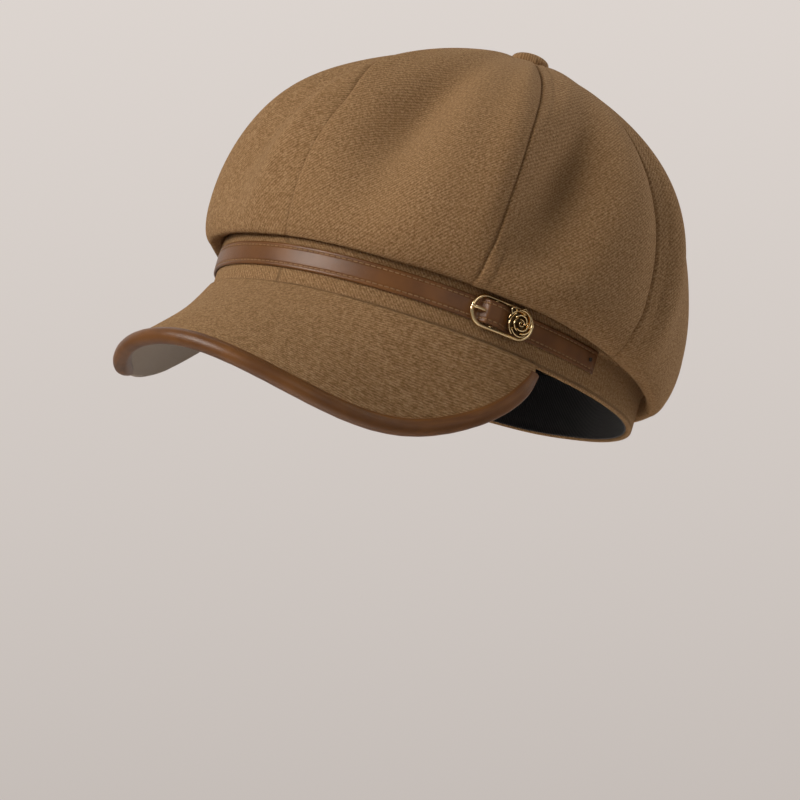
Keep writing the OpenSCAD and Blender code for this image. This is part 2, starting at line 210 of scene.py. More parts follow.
def lining(t, s, d):
    """The lining: along the dome, then in over the top of the band."""
    t, s = np.broadcast_arrays(np.asarray(t, float), np.asarray(s, float))
    top = dome(t, np.clip(s / WALL_SHARE, 0, 1), d)
    u = np.clip((s - WALL_SHARE) / (1 - WALL_SHARE), 0, 1)
    px, py = plan(t, SIDE_OVER - d, overhang(t) - d)
    ex, ey = plan(t, -2.4, -2.4)
    low = BAND_H + GAP + d - CLOTH_T - LINING_GAP
    z = widest_z(t) - (widest_z(t) - low) * sin(90 * u)
    turn = np.stack([ex + (px - ex) * cos(90 * u), ey + (py - ey) * cos(90 * u), z], -1)
    return np.where((s > WALL_SHARE)[..., None], turn, top)


def normals(surface, t, s):
    """Outward unit normals of surface(t, s), by differences."""
    dt, ds = 0.2, 0.004
    s_low, s_high = np.clip(s - ds, 0, 1), np.clip(s + ds, 0, 1)
    across = surface(t + dt, s) - surface(t - dt, s)
    down = surface(t, s_high) - surface(t, s_low)
    return unit(np.cross(down, across))


# Soft shapes in the cloth: angle, share down the panel, height in mm (a dent is
# negative), half sizes across and along in mm, and a turn from upright in degrees.
SOFT_SHAPES = (
    (19, 0.44, -12.5, 12, 24, 2),
    (26, 0.66, 2.6, 22, 12, 0),
    (64, 0.49, -15.5, 11.5, 22, 24),
    (60, 0.38, 2.0, 7, 20, 30),
    (66, 0.66, 1.6, 16, 12, 0),
    (-7, 0.48, 4.5, 6, 28, 8),
    (-22, 0.46, -4.0, 8, 22, 0),
    (46, 0.38, 3.4, 6, 28, 0),
    (101, 0.50, 3.2, 6, 26, 8),
    (94, 0.45, -3.0, 6, 24, 4),
    (-26, 0.58, -3.0, 12, 16, 24),
    (-32, 0.44, 2.0, 12, 16, 0),
    (-66, 0.52, -4.0, 11, 26, -24),
    (-104, 0.47, 2.5, 8, 26, 0),
    (121, 0.45, -3.0, 12, 24, -18),
    (156, 0.52, -3.4, 13, 22, 22),
    (196, 0.47, -3.2, 13, 22, -20),
    (236, 0.52, -3.6, 12, 24, 16),
)
DEG_MM = 1.72                       # one degree round the cap, at its widest


def soft_height(t, s):
    """Height of dents, folds and slow unevenness over the plain crown."""
    h = np.zeros_like(t)
    for t0, s0, high, across, along, turn in SOFT_SHAPES:
        x = ((t - t0 + 180) % 360 - 180) * DEG_MM
        y = (s - s0) * MERIDIAN
        a = (x * cos(turn) + y * sin(turn)) / across
        b = (y * cos(turn) - x * sin(turn)) / along
        h = h + high * np.exp(-(a * a + b * b) / 2)
    h = h + 0.5 * sin(5 * t + 40) * sin(400 * s) + 0.35 * sin(11 * t + 200 * s)
    return h


SEAM_DEPTH, SEAM_WIDTH = 0.85, 0.75
ALLOWANCE, ALLOWANCE_H = 5.5, 0.4   # the turned-under edge beside each seam
PILLOW = 0.35


def seam_height(k, from_left, from_right):
    """Height across panel k, from the distances in mm to its two seams."""
    groove = -SEAM_DEPTH * (SEAM_SHOWS[k - 1] * np.exp(-(from_left / SEAM_WIDTH) ** 2)
                            + SEAM_SHOWS[k] * np.exp(-(from_right / SEAM_WIDTH) ** 2))
    ridge = ALLOWANCE_H * (1 - smooth((from_left - ALLOWANCE + 0.6) / 1.1)) * smooth(from_left / 1.4)
    crease = -0.25 * np.exp(-((from_left - ALLOWANCE) / 0.5) ** 2)
    return groove + SEAM_SHOWS[k - 1] * (ridge + crease)


# ---------------------------------------------------------------- meshes

def new_object(name, points, faces, cloth=None):
    mesh = bpy.data.meshes.new(name)
    mesh.from_pydata((np.asarray(points).reshape(-1, 3) * MM).tolist(), [], [list(f) for f in faces])
    mesh.validate()
    if cloth is not None:
        layer = mesh.attributes.new("cloth", "FLOAT_VECTOR", "POINT")
        layer.data.foreach_set("vector", np.asarray(cloth, np.float32).reshape(-1))
    mesh.polygons.foreach_set("use_smooth", [True] * len(mesh.polygons))
    mesh.update()
    obj = bpy.data.objects.new(name, mesh)
    bpy.context.scene.collection.objects.link(obj)
    return obj


def grid_faces(m, n, start=0, flip=False, wrap=False):
    """Quads of an m by n grid of points, row by row; wrap joins the last column to the first."""
    cols = n if wrap else n - 1
    j, i = np.meshgrid(np.arange(m - 1), np.arange(cols), indexing="ij")
    a, b = start + j * n + i, start + j * n + (i + 1) % n
    c, d = b + n, a + n
    quads = np.stack([a, b, c, d] if flip else [a, d, c, b], -1)
    return quads.reshape(-1, 4).tolist()


def slab(name, outer, inner, cloth):
    """A closed sheet between two grids of points (rows, columns, 3), the outer one first."""
    m, n = outer.shape[:2]
    h = m * n
    faces = grid_faces(m, n) + grid_faces(m, n, start=h, flip=True)
    rim = ([j * n for j in range(m)] + [(m - 1) * n + i for i in range(1, n)]
           + [j * n + n - 1 for j in range(m - 2, -1, -1)] + [i for i in range(n - 2, 0, -1)])
    faces += [[a, a + h, b + h, b] for a, b in zip(rim, rim[1:] + rim[:1])]
    points = np.concatenate([outer.reshape(-1, 3), inner.reshape(-1, 3)])
    coords = np.concatenate([cloth.reshape(-1, 3)] * 2)
    return new_object(name, points, faces, coords)


def tube(name, rings, cloth, closed=False):
    """A bar through rings of points (rings, points, 3); closed joins the last ring to the first."""
    m, n = rings.shape[:2]
    faces = grid_faces(m, n, wrap=True)
    if closed:
        last = (m - 1) * n
        faces += [[last + i, i, (i + 1) % n, last + (i + 1) % n] for i in range(n)]
    else:
        faces += [list(range(n)), [(m - 1) * n + i for i in range(n - 1, -1, -1)]]
    return new_object(name, rings, faces, cloth)


def path_frames(path, up, closed=False):
    """Unit sideways and up vectors along a path."""
    if closed:
        tangent = unit(np.roll(path, -1, 0) - np.roll(path, 1, 0))
    else:
        tangent = unit(np.gradient(path, axis=0))
    side = unit(np.cross(tangent, up))
    return side, np.cross(side, tangent)


def lengths(points, axis=0):
    """Distance run along an axis of a grid of points."""
    step = np.linalg.norm(np.diff(points, axis=axis), axis=-1)
    pad = [(0, 0)] * step.ndim
    pad[axis] = (1, 0)
    return np.pad(np.cumsum(step, axis=axis), pad)


def round_wire(name, path, radius, up, sides=16, closed=False, flat=1.0):
    """A wire along a path; radius may vary, and flat squashes it along its up direction."""
    side, lift = path_frames(path, up, closed)
    a = np.arange(sides) * 360 / sides
    radius = np.broadcast_to(np.asarray(radius, float), (len(path),))
    rings = (path[:, None] + radius[:, None, None]
             * (cos(a)[None, :, None] * side[:, None] + flat * sin(a)[None, :, None] * lift[:, None]))
    cloth = np.stack([np.broadcast_to(lengths(path)[:, None], rings.shape[:2]),
                      np.broadcast_to(a[None] * 0.02, rings.shape[:2]), np.zeros(rings.shape[:2])], -1)
    return tube(name, rings, cloth, closed)


def finish_piece(obj, body, material, slot, *nodes):
    obj.data.materials.clear()
    obj.data.materials.append(material)
    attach(obj, body)
    if nodes:
        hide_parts(*nodes)
    return obj


# ---------------------------------------------------------------- materials

class Nodes:
    """A small hand for building a node tree."""

    def __init__(self, name):
        self.mat = bpy.data.materials.new(name)
        self.mat.use_nodes = True
        self.tree = self.mat.node_tree
        self.bsdf = self.tree.nodes["Principled BSDF"]

    def add(self, kind, inputs=(), **settings):
        node = self.tree.nodes.new(kind)
        for key, value in settings.items():
            setattr(node, key, value)
        for key, value in dict(inputs).items():
            self.put(node.inputs[key], value)
        return node

    def put(self, socket, value):
        if hasattr(value, "is_output"):
            self.tree.links.new(value, socket)
        else:
            socket.default_value = value

    def put_colour(self, socket, value):
        self.put(socket, value if hasattr(value, "is_output") else (*value, 1.0))

    def math(self, kind, a, b=0.0):
        return self.add("ShaderNodeMath", {0: a, 1: b}, operation=kind).outputs[0]

    def cloth(self, scale=(1, 1, 1), turn=0.0):
        """The piece's own cloth coordinates in millimetres, turned and then divided by scale."""
        source = self.add("ShaderNodeAttribute", attribute_name="cloth")
        mapping = self.add("ShaderNodeMapping", {"Vector": source.outputs["Vector"], "Scale": scale,
                                                 "Rotation": (0, 0, math.radians(turn))},
                           vector_type="TEXTURE")
        return mapping.outputs[0]

    def noise(self, vector, scale, detail=3.0, rough=0.55, distortion=0.0):
        node = self.add("ShaderNodeTexNoise", {"Vector": vector, "Scale": scale, "Detail": detail,
                                               "Roughness": rough, "Distortion": distortion})
        return node.outputs["Fac"]

    def ramp(self, value, *stops):
        node = self.add("ShaderNodeValToRGB", {"Fac": value})
        elements = node.color_ramp.elements
        while len(elements) < len(stops):
            elements.new(0.5)
        for element, (place, colour) in zip(elements, stops):
            element.position = place
            element.color = (*colour, 1.0)
        return node.outputs["Color"]

    def mix(self, factor, a, b):
        node = self.add("ShaderNodeMix", data_type="RGBA")
        self.put(node.inputs[0], factor)
        self.put_colour(node.inputs[6], a)
        self.put_colour(node.inputs[7], b)
        return node.outputs[2]

    def bump(self, height, distance, strength):
        node = self.add("ShaderNodeBump", {"Height": height, "Distance": distance, "Strength": strength})
        return node.outputs["Normal"]

    def surface(self, colour, rough, normal, **values):
        self.put_colour(self.bsdf.inputs["Base Color"], colour)
        self.put(self.bsdf.inputs["Roughness"], rough)
        self.put(self.bsdf.inputs["Normal"], normal)
        for key, value in values.items():
            self.bsdf.inputs[key.replace("_", " ")].default_value = value
        return self.mat


def wool():
    """Brushed wool: a soft diagonal twill under a nap of short fibres."""
    n = Nodes("wool")
    bend = n.noise(n.cloth(), 0.35, detail=2)
    twill = n.add("ShaderNodeTexWave", {"Vector": n.cloth(turn=40), "Scale": 0.29, "Distortion": 2.6,
                                        "Detail": 2.0, "Detail Scale": 1.2}).outputs["Fac"]
    fibre = n.noise(n.cloth(scale=(1.35, 1.0, 1.0), turn=-50), 2.1, detail=4, rough=0.7, distortion=0.4)
    fleck = n.noise(n.cloth(), 0.85, detail=5, rough=0.75)
    cloud = n.noise(n.cloth(), 0.045, detail=3)
    tone = n.math("ADD", n.math("MULTIPLY", fibre, 0.42), n.math("MULTIPLY", fleck, 0.58))
    faint = n.math("MULTIPLY", n.math("SUBTRACT", twill, 0.5), n.math("MULTIPLY", bend, 0.16))
    tone = n.math("ADD", tone, faint)
    colour = n.ramp(tone, (0.39, WOOL_DARK), (0.50, WOOL_MID), (0.61, WOOL_LIGHT))
    colour = n.mix(n.math("MULTIPLY", cloud, 0.3), colour, WOOL_WARM)
    height = n.math("ADD", tone, n.math("MULTIPLY", fleck, 0.3))
    normal = n.bump(height, 0.0011, 0.9)
    return n.surface(colour, 0.95, normal, Sheen_Weight=0.22, Sheen_Roughness=0.6,
                     Sheen_Tint=(0.62, 0.42, 0.22, 1), Specular_IOR_Level=0.12)


def leather():
    """Smooth brown leather with a fine grain and slow random changes of tone."""
    n = Nodes("leather")
    grain = n.add("ShaderNodeTexVoronoi", {"Vector": n.cloth(), "Scale": 1.5, "Randomness": 1.0},
                  feature="DISTANCE_TO_EDGE").outputs["Distance"]
    fine = n.noise(n.cloth(), 1.3, detail=4)
    slow = n.noise(n.cloth(), 0.07, detail=3)
    colour = n.ramp(slow, (0.35, LEATHER_DARK), (0.65, LEATHER_LIGHT))
    colour = n.mix(n.math("MULTIPLY", fine, 0.25), colour, LEATHER_WARM)
    rough = n.math("ADD", n.math("MULTIPLY", fine, 0.12), 0.33)
    height = n.math("ADD", n.math("MULTIPLY", n.math("MINIMUM", grain, 0.25), 1.2),
                    n.math("MULTIPLY", fine, 0.6))
    return n.surface(colour, rough, n.bump(height, 0.00012, 0.6), Specular_IOR_Level=0.40)


def gold():
    """Polished pale gold plating with faint handling marks."""
    n = Nodes("gold")
    source = n.add("ShaderNodeTexCoord").outputs["Object"]
    marks = n.noise(source, 2600.0, detail=3)
    colour = n.ramp(marks, (0.3, (0.78, 0.55, 0.27)), (0.7, (0.98, 0.80, 0.48)))
    rough = n.math("ADD", n.math("MULTIPLY", marks, 0.12), 0.06)
    return n.surface(colour, rough, n.bump(marks, 0.00003, 0.4), Metallic=1.0)


def weave(name, dark, light, pitch, rough, sheen, depth=0.0001, ribs=False):
    """A plain woven cloth, or a ribbed ribbon, in one colour."""
    n = Nodes(name)
    lines = [n.add("ShaderNodeTexWave", {"Vector": n.cloth(), "Scale": 0.314 / pitch, "Distortion": 0.3},
                   bands_direction=side).outputs["Fac"] for side in (("X",) if ribs else ("X", "Y"))]
    height = lines[0] if ribs else n.math("MULTIPLY", lines[0], lines[1])
    fibre = n.noise(n.cloth(), 1.6, detail=4)
    tone = n.math("ADD", n.math("MULTIPLY", height, 0.5), n.math("MULTIPLY", fibre, 0.5))
    colour = n.ramp(tone, (0.2, dark), (0.8, light))
    return n.surface(colour, rough, n.bump(height, depth, 0.7), Sheen_Weight=sheen,
                     Sheen_Roughness=0.4, Specular_IOR_Level=0.3)


def plain(name, dark, light, rough, metallic=0.0):
    n = Nodes(name)
    source = n.add("ShaderNodeTexCoord").outputs["Object"]
    marks = n.noise(source, 900.0, detail=4)
    return n.surface(n.ramp(marks, (0.3, dark), (0.7, light)), rough,
                     n.bump(marks, 0.00005, 0.4), Metallic=metallic)


WOOL_DARK, WOOL_MID, WOOL_LIGHT = (0.14, 0.072, 0.028), (0.28, 0.158, 0.072), (0.45, 0.285, 0.15)
WOOL_WARM = (0.29, 0.158, 0.066)
LEATHER_DARK, LEATHER_LIGHT = (0.095, 0.035, 0.008), (0.15, 0.058, 0.013)
LEATHER_WARM = (0.19, 0.066, 0.012)

WOOL = wool()
LEATHER = leather()
GOLD = gold()
SATIN = weave("satin", (0.006, 0.006, 0.007), (0.018, 0.018, 0.02), 0.45, 0.42, 0.15)
RIBBON = weave("ribbon", (0.004, 0.004, 0.005), (0.022, 0.022, 0.024), 0.9, 0.6, 0.2, 0.0003, ribs=True)
TAUPE = weave("taupe", (0.26, 0.20, 0.15), (0.38, 0.31, 0.25), 0.4, 0.85, 0.2)
THREAD = plain("thread", (0.19, 0.10, 0.04), (0.30, 0.17, 0.075), 0.7)
# Near-black gold for the disc under the rose: painted shade for the gaps between its petals.
PAINTED_SHADE_GOLD = plain("gold_painted_shade", (0.03, 0.02, 0.01), (0.09, 0.06, 0.03), 0.45, 1.0)
DARK_THREAD = plain("dark_thread", (0.01, 0.006, 0.004), (0.03, 0.018, 0.01), 0.8)
STEEL = plain("steel", (0.35, 0.35, 0.36), (0.55, 0.55, 0.56), 0.3, 1.0)
BOARD = plain("board", (0.6, 0.59, 0.55), (0.75, 0.74, 0.7), 0.7)


def cut(obj, surface, held, *rests_on):
    """Measure the width and length of a plain surface (rows, columns, 3); nothing uses them."""
    surface = surface * MM
    width, length = lengths(surface, 1)[:, -1].max(), lengths(surface, 0)[-1].max()


# ---------------------------------------------------------------- crown

def seam_at(k, s):
    middle = np.sin(np.pi * np.clip((s - 0.12) / 0.56, 0, 1))
    top = np.sin(np.pi * np.clip((s - 0.04) / 0.42, 0, 1)) ** 1.5
    return SEAMS[k] + SEAM_LEAN[k] * middle + SEAM_LEAN_TOP[k] * top


def panel_grid(k, rows, cols):
    """Angle, share down, and distances to the two seams, for a panel's grid of points."""
    s = np.concatenate([np.linspace(0, WALL_SHARE, rows[0], endpoint=False),
                        np.linspace(WALL_SHARE, LIP_SHARE, rows[1], endpoint=False),
                        np.linspace(LIP_SHARE, 1, rows[2])])[:, None]
    edge = 0.5 - 0.5 * np.cos(np.pi * np.linspace(0, 1, cols))
    c = (0.35 * np.linspace(0, 1, cols) + 0.65 * edge)[None]     # closer columns at the seams
    t = seam_at(k - 1, s) * (1 - c) + seam_at(k, s) * c
    return t, s + 0 * t, c + 0 * t


def crown_panel(k):
    t, s, c = panel_grid(k, (84, 28, 12), 75)
    base = crown(t, s)
    run = lengths(base, axis=1)
    width = run[:, -1:]
    down = lengths(base, axis=0)
    fade = (1 - smooth((s - 0.80) / 0.08)) * smooth(s / 0.10)
    height = fade * soft_height(t, s) + PILLOW * fade * np.sin(np.pi * c)
    seam_fade = 1 - 0.5 * smooth((s - 0.74) / 0.06) - 0.5 * smooth((s - 0.90) / 0.08)
    seam_fade = seam_fade * smooth(width / 12)
    height = height + seam_fade * seam_height(k, run, width - run)
    n = normals(crown, t, s)
    outer = base + n * height[..., None]
    inner = crown(t, s, CLOTH_T) + n * (fade * soft_height(t, s))[..., None]
    cloth = np.stack([run - width / 2, down, np.full_like(run, 53.0 * k)], -1)
    obj = slab(f"crown_panel_{k}.cloth", outer, inner, cloth)
    cut(obj, base, "stretched", "band.cloth")
    return finish_piece(obj, "cap", WOOL, "wool", f"crown_panel_{k}")


def lining_panel(k):
    t, s, c = panel_grid(k, (30, 8, 10), 21)
    depth = CLOTH_T + LINING_GAP
    base = lining(t, s, depth)
    run = lengths(base, axis=1)
    width = run[:, -1:]
    near = np.minimum(run, width - run)
    ripple = 0.9 * np.sin(np.pi * c) * sin(1500 * s + 77 * k) * smooth(s / 0.2)
    low_part = smooth((s - 0.5) / 0.3) * (1 - smooth((s - 0.9) / 0.1))
    ripple = ripple + 0.8 * sin(9 * t + 500 * s) * low_part
    inwards = 1.2 * (1 - np.exp(-(near / 2.0) ** 2)) + 0.6 * np.clip(ripple, -1, 1)
    n = normals(lambda a, b: lining(a, b, depth), t, s)
    fade = smooth(s / 0.08) * (1 - smooth((s - 0.95) / 0.05))
    soft = (soft_height(t, s) * (1 - smooth((s - 0.7) / 0.15)) * smooth(s / 0.10))[..., None]
    outer = base - n * (inwards * fade)[..., None] + n * soft
    inner = outer - n * LINING_T * 0.6
    cloth = np.stack([run - width / 2, lengths(base, axis=0), np.full_like(run, 31.0 * k)], -1)
    obj = slab(f"lining_panel_{k}.satin", outer, inner, cloth)
    cut(obj, base, "gathered", f"crown_panel_{k}.cloth")
    return finish_piece(obj, "cap", SATIN, "lining", f"lining_panel_{k}")


def button():
    """The covered button: a low dome whose cloth is gathered under its rim."""
    a = np.concatenate([np.linspace(-65, 0, 9), np.linspace(6, 90, 24)])
    turn = np.arange(0, 360, 5)
    high = button_high[2] - button_low[2]
    rim = 0.36 * high
    r = np.where(a < 0, BUTTON_R - 0.9 * (1 - cos(a)), BUTTON_R * cos(a) ** 0.85)
    z = np.where(a < 0, rim + rim * sin(a), rim + (high - rim) * sin(a))
    pucker = 1 - 0.012 * np.clip(-a / 65, 0, 1)[:, None] * (1 + sin(15 * turn))[None]
    r = r[:, None] * pucker
    x, y = r * sin(turn)[None], -r * cos(turn)[None]
    rings = np.stack([x, y + TOP_SETBACK, np.broadcast_to(z[:, None], x.shape) + button_low[2]], -1)
    cloth = np.stack([x, y, np.full_like(x, 300.0)], -1)
    obj = tube("button.cloth", rings[::-1], cloth[::-1])
    return finish_piece(obj, "cap", WOOL, "wool", "button_cover")


# ---------------------------------------------------------------- head band

def ring_wall(name, profile, material, slot, nodes, steps=360, wave=0.0):
    """A closed band round the head: profile is a loop of (outward offset, height)."""
    t = np.arange(steps) * 360 / steps
    profile = np.array(profile, float)
    x0, y0 = plan(t, 0, 0)
    n = outward(t)
    ripple = wave * (sin(7 * t + 30) + 0.6 * sin(13 * t))
    off = profile[None, :, 0]
    rings = np.stack([x0[:, None] + n[:, None, 0] * off, y0[:, None] + n[:, None, 1] * off,
                      profile[None, :, 1] + ripple[:, None]], -1)
    along = lengths(np.stack([x0, y0], -1))
    up = lengths(profile)
    cloth = np.stack([np.broadcast_to(along[:, None], rings.shape[:2]),
                      np.broadcast_to(up[None], rings.shape[:2]), np.full(rings.shape[:2], 400.0)], -1)
    obj = tube(name, rings, cloth, closed=True)
    return finish_piece(obj, "cap", material, slot, *nodes)


def arc(cx, cy, rx, ry, start, end, steps):
    a = np.linspace(start, end, steps)
    return [(cx + rx * cos(x), cy + ry * sin(x)) for x in a]


def band():
    wall = 1.6
    outer = [(0.0, z) for z in np.linspace(1.8, 16.6, 12)]
    piping = arc(0.0, 19.2, 1.1, 2.4, -80, 80, 9)      # the rolled top edge over the strap
    upper = [(-0.3, 22.2), (-0.2, 23.5), (-0.2, BAND_H)]
    inner = [(-wall, BAND_H), (-wall, 14.0), (-wall, 2.0)]
    hem = arc(-1.2, 1.0, 1.2, 1.3, 180, 340, 9)
    ring_wall("band.cloth", outer + piping + upper + inner + hem, WOOL, "wool", ["band_outer"], wave=0.1)


def sweatband():
    out, inside = -2.45, -3.1
    loop = ([(out, z) for z in np.linspace(1.4, BAND_H - 0.2, 8)]
            + [(inside - 0.2, BAND_H - 0.1)] + [(inside, z) for z in np.linspace(BAND_H - 1.5, 1.5, 10)]
            + arc(inside + 0.25, 0.9, 0.35, 0.5, 180, 330, 5))
    ring_wall("sweatband.ribbon", loop, RIBBON, "lining", ["sweatband"], wave=0.12)


# ---------------------------------------------------------------- visor

def visor_reach(t):
    return VISOR_LEN * np.clip(1 - (np.abs(t) / VISOR_SPAN) ** VISOR_P, 0, 1) ** VISOR_Q


def visor_droop(t):
    side = DROOP_SIDE - FAR_LIFT * smooth((-t - 15) / 35)
    return DROOP_MID + (side - DROOP_MID) * smooth(np.abs(t) / VISOR_SPAN / DROOP_TURN)


def visor(t, w, h):
    t, w, h = np.broadcast_arrays(np.asarray(t, float), np.asarray(w, float), np.asarray(h, float))
    n, d, run = outward(t), visor_droop(t), visor_reach(t) * w
    out = run * cos(d) + h * sin(d)
    x, y = plan(t, 0, 0)
    return np.stack([x + n[..., 0] * out, y + n[..., 1] * out, -GAP - run * sin(d) + h * cos(d)], -1)


def visor_angles(end, steps):
    return VISOR_SPAN * end * sin(np.linspace(-90, 90, steps))


def visor_cover(name, low, high, material, slot, node):
    t = visor_angles(0.992, 161)[None]
    w = np.linspace(0, 1, 41)[:, None]
    top = visor(t, w, high)
    bottom = visor(t, w, low)
    if high > 0:
        x, y = plan(t[0], 0, 0)
        n = outward(t[0])
        turned = [np.stack([x + n[:, 0] * 0.15, y + n[:, 1] * 0.15, 0 * x + z], -1)[None]
                  for z in (1.1, 0.5)]
        top, bottom = np.concatenate([turned[0], top]), np.concatenate([turned[1], bottom])
    down = lengths(top)
    cloth = np.stack([0.7 * (top[..., 0] + down), 0.7 * (down - top[..., 0]),
                      np.full(top.shape[:2], 500.0 + high)], -1)
    obj = slab(name, top, bottom, cloth)
    cut(obj, top, "stretched", "visor_board")
    return finish_piece(obj, "cap", material, slot, node)


def visor_binding():
    """Leather rolled over the visor's edge, its two lips lying on the covers."""
    t = visor_angles(0.996, 401)
    edge = visor(t, 1.0, 0.0)
    along = unit(visor(t + 0.03, 1.0, 0.0) - visor(t - 0.03, 1.0, 0.0))
    outer = unit(edge - visor(t, 0.9, 0.0))
    up = unit(np.cross(outer, along))
    up = up * np.sign(up[:, 2:3] + 1e-9)
    inward = unit(np.cross(up, along) * np.sign((np.cross(up, along) * -outer).sum(-1, keepdims=True)))
    lip_pts = [(2.2, 2.75), (3.2, 2.35), (3.5, 1.9)]
    section = (arc(0, 0, ROLL_R, ROLL_R, 85, 275, 20) + [(a, -b) for a, b in lip_pts]
               + lip_pts[::-1])
    section = np.array(section)
    crease = 1 + 0.012 * sin(360 * lengths(edge) / 9.0) * sin(360 * lengths(edge) / 31.0)
    far = smooth((-t - 25) / 15)[:, None]
    ends = 1 - 0.2 * smooth((np.abs(t) - 69) / 3)[:, None]
    scale = crease[:, None] * (1 - 0.4 * far) * ends
    rings = (edge[:, None] + (section[None, :, 0] * scale + 1.2 * far)[..., None] * inward[:, None]
             + (section[None, :, 1] * scale + 0.8 * far)[..., None] * up[:, None])
    around_mm = lengths(section)
    cloth = np.stack([np.broadcast_to(lengths(edge)[:, None], rings.shape[:2]),
                      np.broadcast_to(around_mm[None], rings.shape[:2]),
                      np.full(rings.shape[:2], 600.0)], -1)
    obj = tube("visor_binding.leather", rings, cloth)
    return finish_piece(obj, "cap", LEATHER, "leather", "visor_binding")


# ---------------------------------------------------------------- strap

def buckle_axes():
    """Middle of the buckle on the band, and its outward, along and up directions."""
    x, y = plan(BUCKLE_ANGLE, 0, 0)
    n = outward(BUCKLE_ANGLE)
    out = np.array([n[0], n[1], 0.0])
    along = np.array([-n[1], n[0], 0.0])
    return np.array([x, y, STRAP_Z + STRAP_W / 2]), out, along, np.array([0.0, 0.0, 1.0])


ORIGIN, OUT, ALONG, UP = buckle_axes()
BAR_OUT = (PIVOT - ORIGIN) @ OUT
OVER_BAR = 1.45                     # the strap's underside stays this far out from the bar's middle
BUMP_H = BAR_OUT + OVER_BAR


def at_buckle(points):
    """Points given as (out, along, up) from the buckle's middle, in the cap's frame."""
    points = np.asarray(points, float)
    return ORIGIN + points[..., :1] * OUT + points[..., 1:2] * ALONG + points[..., 2:3] * UP


def strap_rise(u):
    front = smooth((u + BUMP_FRONT) / BUMP_SLOPE)
    back = smooth((BUMP_BACK - u) / (BUMP_BACK + 2.5))
    return 0.1 + BUMP_H * front * back


SPEED = math.hypot(HALF_W * cos(BUCKLE_ANGLE), HALF_L * sin(BUCKLE_ANGLE)) * math.pi / 180
STRAP_SPAN = 90.0
STITCH_IN = 1.5                     # distance of each row of stitches from the strap's edge


def strap_point(t, off, z):
    t, off, z = np.broadcast_arrays(np.asarray(t, float), np.asarray(off, float), np.asarray(z, float))
    x, y = plan(t, 0, 0)
    n = outward(t)
    d = strap_rise((t - BUCKLE_ANGLE) * SPEED) + off
    return np.stack([x + n[..., 0] * d, y + n[..., 1] * d, z], -1)


def strap_top(v):
    """Thickness of the domed strap at v from its middle line."""
    edge = np.abs(v) / (STRAP_W / 2)
    dome_h = STRAP_T * (0.82 + 0.18 * np.sqrt(np.clip(1 - edge ** 2, 0, 1)))
    row = np.exp(-((np.abs(v) - (STRAP_W / 2 - STITCH_IN)) / 0.35) ** 2)
    return dome_h - 0.28 * row


def strap():
    t = np.concatenate([np.linspace(-STRAP_SPAN, BUCKLE_ANGLE - 9, 280, endpoint=False),
                        np.linspace(BUCKLE_ANGLE - 9, BUCKLE_ANGLE + 4, 110, endpoint=False),
                        np.linspace(BUCKLE_ANGLE + 4, STRAP_SPAN, 60)])
    half = STRAP_W / 2
    v = np.linspace(-1, 1, 33)
    v_top = half * np.sign(v) * np.abs(v) ** 0.8 * 0.985
    off_top = strap_top(v_top)
    off_top[[0, -1]] *= 0.72
    v_loop = np.concatenate([v_top, [half, half, half - 0.3], np.linspace(half - 1, 1 - half, 6),
                             [0.3 - half, -half, -half]])
    o_loop = np.concatenate([off_top, [0.75 * STRAP_T * 0.82, 0.25, 0.0], np.zeros(6), [0.0, 0.25,
                             0.75 * STRAP_T * 0.82]])
    u = (t - BUCKLE_ANGLE) * SPEED
    slit = (smooth((u + 11.3) / 0.8) * (1 - smooth((u + 8.9) / 0.8)))[:, None]
    slit = slit * np.exp(-(v_loop / 0.75) ** 4)[None] * (np.arange(len(v_loop)) < 33)[None]
    thin = 1 - 0.6 * smooth((np.abs(t) - STRAP_SPAN + 2) / 2)[:, None]
    off = (o_loop[None] - slit * 1.15) * thin
    z = STRAP_Z + half + v_loop[None] + 0 * off
    rings = strap_point(t[:, None], off, z)
    cloth = np.stack([np.broadcast_to(lengths(rings[:, 16])[:, None], off.shape),
                      np.broadcast_to(v_loop[None], off.shape), np.full(off.shape, 700.0)], -1)
    obj = tube("strap.leather", rings, cloth)
    return finish_piece(obj, "cap", LEATHER, "leather", "strap")


def capsule(length, radius, steps=5, sides=8):
    """Points and faces of a small closed rounded bar along X, centred."""
    a = np.linspace(-90, 90, 2 * steps)
    x = radius * sin(a) + np.sign(sin(a)) * (length / 2 - radius)
    r = np.maximum(radius * cos(a), 0.01 * radius)
    turn = np.arange(sides) * 360 / sides
    rings = np.stack([np.broadcast_to(x[:, None], (len(a), sides)),
                      r[:, None] * cos(turn)[None], r[:, None] * sin(turn)[None]], -1)
    faces = grid_faces(len(a), sides, wrap=True)
    faces += [list(range(sides)), [(len(a) - 1) * sides + i for i in range(sides - 1, -1, -1)]]
    return rings.reshape(-1, 3), faces


def stitches(name, starts, directions, ups, length, radius, material, slot):
    """One piece of many stitches: each a small capsule pressed into the surface."""
    points, faces = capsule(length, radius)
    n = len(points)
    side = unit(np.cross(ups, directions))
    ups = np.cross(directions, side)
    every = (starts[:, None] + points[None, :, 0, None] * directions[:, None]
             + points[None, :, 1, None] * side[:, None] + 0.7 * points[None, :, 2, None] * ups[:, None])
    all_faces = [[i + k * n for i in f] for k in range(len(starts)) for f in faces]
    obj = new_object(name, every, all_faces, every)
    return finish_piece(obj, "cap", material, slot)


def even_steps(path, pitch):
    """Points at an even pitch along a path, and the directions there."""
    run = lengths(path)
    at = np.arange(pitch, run[-1] - pitch, pitch)
    points = np.stack([np.interp(at, run, path[:, i]) for i in range(3)], -1)
    ahead = np.stack([np.interp(at + 0.1, run, path[:, i]) for i in range(3)], -1)
    return points, unit(ahead - points)


